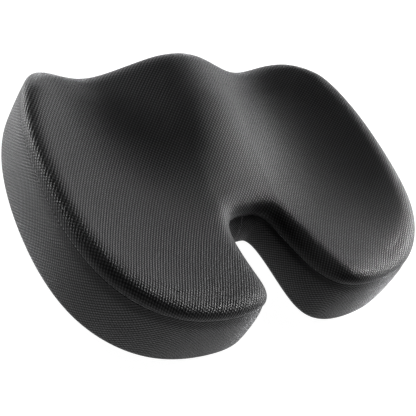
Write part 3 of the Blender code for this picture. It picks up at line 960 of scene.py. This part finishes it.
def make_stitching(cover, material):
    """Topstitching over the window and round its ends."""
    bm = bmesh.new()
    z = WINDOW_TOP + STITCH_ABOVE
    over = np.arange(-STITCH_HALF, STITCH_HALF + 0.1, STITCH_PITCH)
    add_stitches(bm, cover, [((x - 1, z), (x + 1, z)) for x in over])
    for side in (-1, 1):
        x = side * (WINDOW_HALF + STITCH_BESIDE)
        beside = np.arange(*STITCH_HEIGHTS, STITCH_PITCH)
        add_stitches(bm, cover, [((x, z - 1), (x, z + 1)) for z in beside])
    add_piece(make_bmesh_object("zip_stitching", bm), material, None)


def make_label(cover, material):
    """The sewn-in care label: a satin strip, loose and a little wavy towards its lower end."""
    low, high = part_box("care_label")
    low, high = np.array(low) / MM, np.array(high) / MM
    xs = np.linspace(low[0] + LABEL_MARGIN, high[0] - LABEL_MARGIN, 13)
    zs = np.linspace(low[2], high[2], 17)
    points = []
    for x in xs:
        for z in zs:
            place, normal = on_cover(cover, x, z)
            loose = (high[2] - z) / (high[2] - low[2])
            lift = LABEL_LIFT[0] + LABEL_LIFT[1] * loose**2 * (0.6 + 0.4 * math.cos(x * 0.5))
            points.append(place + normal * lift)
    index = np.arange(len(points)).reshape(len(xs), len(zs))
    obj = make_mesh_object("care_label_ribbon", points, grid_faces(index, False))
    add_thickness(obj, LABEL_THICKNESS)
    obj.modifiers["Thickness"].offset = 0.0
    add_piece(obj, material, "care_label")


def make_grip_dots(material):
    """Low silicone domes in staggered rows over the flat underside."""
    rim = rim_parameters()
    rim = both_halves(with_height(outline_point(rim, base_rim(rim) - 2 * DOT_RADIUS), 0))[:, :2]
    bm = bmesh.new()
    rows = int(2 * HALF_WIDTH / DOT_PITCH)
    for row in range(-rows, rows + 1):
        for column in range(-rows, rows + 1):
            x = (column + 0.5 * (row % 2)) * DOT_PITCH
            y = row * DOT_PITCH * math.sqrt(3) / 2
            if inside(rim, x, y):
                add_dome(bm, x, y)
    add_piece(make_bmesh_object("grip_dots", bm), material, None)


def inside(rim, x, y):
    """Whether a point is inside a closed outline."""
    x0, y0 = rim.T
    x1, y1 = np.roll(rim, -1, 0).T
    crosses = (y0 > y) != (y1 > y)
    with np.errstate(divide="ignore", invalid="ignore"):
        at = x0 + (y - y0) * (x1 - x0) / (y1 - y0)
    return bool((crosses & (x < at)).sum() % 2)


def add_dome(bm, x, y):
    """One grip dot, from inside the cloth down to the floor."""
    segments = 10
    profile = ((DOT_RADIUS, DOT_HEIGHT + 0.2), (DOT_RADIUS, DOT_HEIGHT * 0.55),
               (DOT_RADIUS * 0.72, DOT_HEIGHT * 0.12), (DOT_RADIUS * 0.3, 0.0))
    rings = []
    for radius, z in profile:
        ring = []
        for k in range(segments):
            angle = 2 * math.pi * k / segments
            place = (x + radius * math.cos(angle), y + radius * math.sin(angle), z)
            ring.append(bm.verts.new([c * MM for c in place]))
        rings.append(ring)
    for upper, lower in zip(rings, rings[1:]):
        for k in range(segments):
            n = (k + 1) % segments
            bm.faces.new((upper[k], lower[k], lower[n], upper[n]))
    bm.faces.new(reversed(rings[-1]))
    bm.faces.new(rings[0])


# --- Stage --------------------------------------------------------------------------------------
FLOOR_SIZE = 30.0
FLOOR_GREY = 0.25
FLOOR_GLOW = 0.985
HORIZON = (0.02, 0.06, 0.97, 0.0)  # white up to this height, dark from this one; brightnesses

# Directions are in degrees, from +X round to +Y, and above the floor; powers in watts.
LIGHTS = (
    ("key_low", 0, 15, 86.0),
    ("key_middle", 0, 28, 12.0),
    ("key_high", 0, 45, 10.0),
    ("rim_right", 40, 5, 3.0),
    ("side_left", 118, 5, 14.0),
    ("top_light", 0, 90, 2.3),
)
LIGHT_SIZE = 0.6
LIGHT_DISTANCE = 2.2
CORNER_LAMP = ((-0.34, 0.32, 0.03), 0.12, 2.2)  # low and near the front left: place, size, power
CORNER_AIM = (-0.2, 0.08, 0.03)


def make_floor():
    """A white floor; its glow leaves only a hint of shadow on it."""
    bpy.ops.mesh.primitive_plane_add(size=FLOOR_SIZE, location=(0, 0, -0.0002))
    floor = bpy.context.object
    floor.name = "floor"
    nodes = Nodes("floor")
    nodes.set(
        Base_Color=rgba(FLOOR_GREY, FLOOR_GREY, FLOOR_GREY),
        Roughness=0.9,
        Emission_Color=rgba(1, 1, 1),
        Emission_Strength=FLOOR_GLOW,
    )
    floor.data.materials.append(nodes.material)


def make_world():
    """Dark surroundings, with a white band at the horizon behind the floor's edge."""
    world = bpy.data.worlds.new("studio")
    world.use_nodes = True
    scene.world = world
    tree = world.node_tree
    direction = tree.nodes.new("ShaderNodeTexCoord")
    split = tree.nodes.new("ShaderNodeSeparateXYZ")
    fade = tree.nodes.new("ShaderNodeMapRange")
    fade.interpolation_type = "SMOOTHSTEP"
    for key, value in zip(("From Min", "From Max", "To Min", "To Max"), HORIZON):
        fade.inputs[key].default_value = value
    background = tree.nodes["Background"]
    background.inputs["Color"].default_value = rgba(1, 1, 1)
    tree.links.new(direction.outputs["Generated"], split.inputs[0])
    tree.links.new(split.outputs[2], fade.inputs["Value"])
    tree.links.new(fade.outputs[0], background.inputs["Strength"])


def make_lights():
    """Soft low light from the right, a little from above, and low from the front left."""
    for name, azimuth, elevation, power in LIGHTS:
        a, e = math.radians(azimuth), math.radians(elevation)
        place = Vector((math.cos(e) * math.cos(a), math.cos(e) * math.sin(a), math.sin(e)))
        add_lamp(name, place * LIGHT_DISTANCE, place, LIGHT_SIZE, power)
    place, size, power = CORNER_LAMP
    add_lamp("corner_lamp", Vector(place), Vector(place) - Vector(CORNER_AIM), size, power)


def add_lamp(name, place, back, size, power):
    """A round area lamp; back is the direction opposite to the one it shines in."""
    light = bpy.data.lights.new(name, "AREA")
    light.shape = "DISK"
    light.size = size
    light.energy = power
    lamp = bpy.data.objects.new(name, light)
    lamp.location = place
    lamp.rotation_euler = back.to_track_quat("Z", "Y").to_euler()
    lamp.visible_camera = False
    scene.collection.objects.link(lamp)


# --- Camera -------------------------------------------------------------------------------------
CAMERA_PLACE = Vector((-0.5385, -0.3685, 0.6308))
CAMERA_AIM = Vector((-0.0034, -0.0055, 0.0008))
CAMERA_RIGHT = Vector((0.7919, -0.4311, 0.4325))  # the picture's horizontal: the camera is rolled
LENS = 71.8


def make_camera():
    data = bpy.data.cameras.new("camera")
    data.lens = LENS
    data.sensor_width = 36.0
    camera = bpy.data.objects.new("camera", data)
    back = (CAMERA_PLACE - CAMERA_AIM).normalized()
    right = (CAMERA_RIGHT - back * CAMERA_RIGHT.dot(back)).normalized()
    up = back.cross(right)
    turn = Matrix((right, up, back)).transposed()
    camera.matrix_world = Matrix.Translation(CAMERA_PLACE) @ turn.to_4x4()
    scene.collection.objects.link(camera)
    scene.camera = camera


def paint_metal():
    """The metal pieces of the zip keep the CAD's shape and get the lacquer."""
    metal = lacquer()
    for part in frame["record"]["subparts"]:
        if part["material_slot"] == "zip_metal":
            node = frame["nodes"][part["node"]]
            node.data.materials.clear()
            node.data.materials.append(metal)


def main():
    scene.view_settings.view_transform = "Standard"
    materials = {
        "mesh_fabric": mesh_fabric(),
        "grip_fabric": grip_fabric(),
        "thread": thread_material(),
    }
    make_camera()
    make_floor()
    make_world()
    make_lights()
    cover = make_cover(materials)
    make_foam(foam_material())
    make_grip_dots(silicone())
    front_y = wall_at([0.0], ZIP_Z)[0, 1]
    tape = tape_material()
    make_shade_strip(front_y, tape)
    make_tapes(front_y, tape)
    make_coils(front_y, nylon())
    make_stitching(cover, materials["thread"])
    make_label(cover, satin())
    paint_metal()


main()
